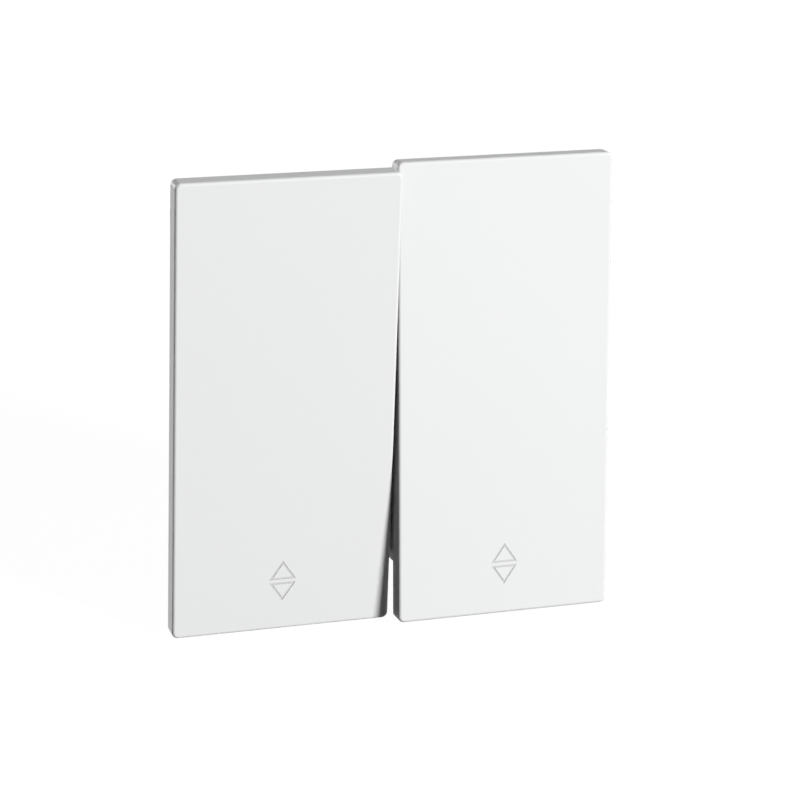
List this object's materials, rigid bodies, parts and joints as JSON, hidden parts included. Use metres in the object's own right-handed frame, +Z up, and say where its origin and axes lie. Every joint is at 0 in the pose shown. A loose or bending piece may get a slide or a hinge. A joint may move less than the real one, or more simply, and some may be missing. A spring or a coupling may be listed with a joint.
{
  "type": "double two-way switch",
  "caption": "Double two-way light switch module: two tall flat white rocker keys on a snap-in contact mechanism with rear wire entries.",
  "frame": {"origin": "middle of the seat plane, where the switch meets its support frame", "axes": "+X to the right seen from the front, +Y into the wall, +Z up; the keys face -Y"},
  "size_m": [0.0434, 0.0248, 0.0452],
  "materials": {
    "key_white": "fine satin white",
    "rocker_grey": "smooth light grey",
    "frame_grey": "smooth pale grey",
    "housing_grey": "fine matt grey",
    "plunger_natural": "smooth natural",
    "contact_brass": "rolled strip",
    "contact_silver": "turned silver face",
    "spring_steel": "drawn wire and rolled leaf",
    "screw_steel": "zinc plated"
  },
  "bodies": {
    "base": {"front_frame": "frame_grey", "base_housing": "housing_grey", "rear_cover": "housing_grey", "housing_screws": "screw_steel", "left_common_terminal": "contact_brass", "left_upper_terminal": "contact_brass", "left_lower_terminal": "contact_brass", "left_fixed_tips": "contact_silver", "left_common_leaf": "spring_steel", "left_upper_leaf": "spring_steel", "left_lower_leaf": "spring_steel", "right_common_terminal": "contact_brass", "right_upper_terminal": "contact_brass", "right_lower_terminal": "contact_brass", "right_fixed_tips": "contact_silver", "right_common_leaf": "spring_steel", "right_upper_leaf": "spring_steel", "right_lower_leaf": "spring_steel"},
    "left_key_body": {"left_key": "key_white", "left_rocker": "rocker_grey", "left_plunger_spring": "spring_steel"},
    "left_plunger_body": {"left_plunger": "plunger_natural"},
    "left_lever_body": {"left_contact_lever": "contact_brass", "left_lever_tips": "contact_silver"},
    "right_key_body": {"right_key": "key_white", "right_rocker": "rocker_grey", "right_plunger_spring": "spring_steel"},
    "right_plunger_body": {"right_plunger": "plunger_natural"},
    "right_lever_body": {"right_contact_lever": "contact_brass", "right_lever_tips": "contact_silver"}
  },
  "joints": [
    {"name": "left_key_tilt", "type": "hinge", "parent": "base", "child": "left_key_body", "pos_m": [-0.01061, -0.0055, 0], "axis": [1, 0, 0], "range_deg": [-6.8, 0]},
    {"name": "left_plunger_press", "type": "slide", "parent": "left_key_body", "child": "left_plunger_body", "axis": [0, -0.9982, -0.0593], "range_m": [0, 0.0008], "stiffness_N_per_m": 500, "springref_m": -0.0016, "deforming": ["left_plunger_spring"]},
    {"name": "left_lever_flip", "type": "hinge", "parent": "base", "child": "left_lever_body", "pos_m": [-0.008, 0.00645, 0], "axis": [1, 0, 0], "range_deg": [0, 13.6]},
    {"name": "right_key_tilt", "type": "hinge", "parent": "base", "child": "right_key_body", "pos_m": [0.01061, -0.0055, 0], "axis": [1, 0, 0], "range_deg": [0, 6.8]},
    {"name": "right_plunger_press", "type": "slide", "parent": "right_key_body", "child": "right_plunger_body", "axis": [0, -0.9982, 0.0593], "range_m": [0, 0.0008], "stiffness_N_per_m": 500, "springref_m": -0.0016, "deforming": ["right_plunger_spring"]},
    {"name": "right_lever_flip", "type": "hinge", "parent": "base", "child": "right_lever_body", "pos_m": [0.008, 0.00645, 0], "axis": [1, 0, 0], "range_deg": [-13.6, 0]}
  ],
  "couplings": [
    {"joint": "left_lever_flip", "follows": "left_key_tilt", "ratio": -2},
    {"joint": "right_lever_flip", "follows": "right_key_tilt", "ratio": -2}
  ]
}
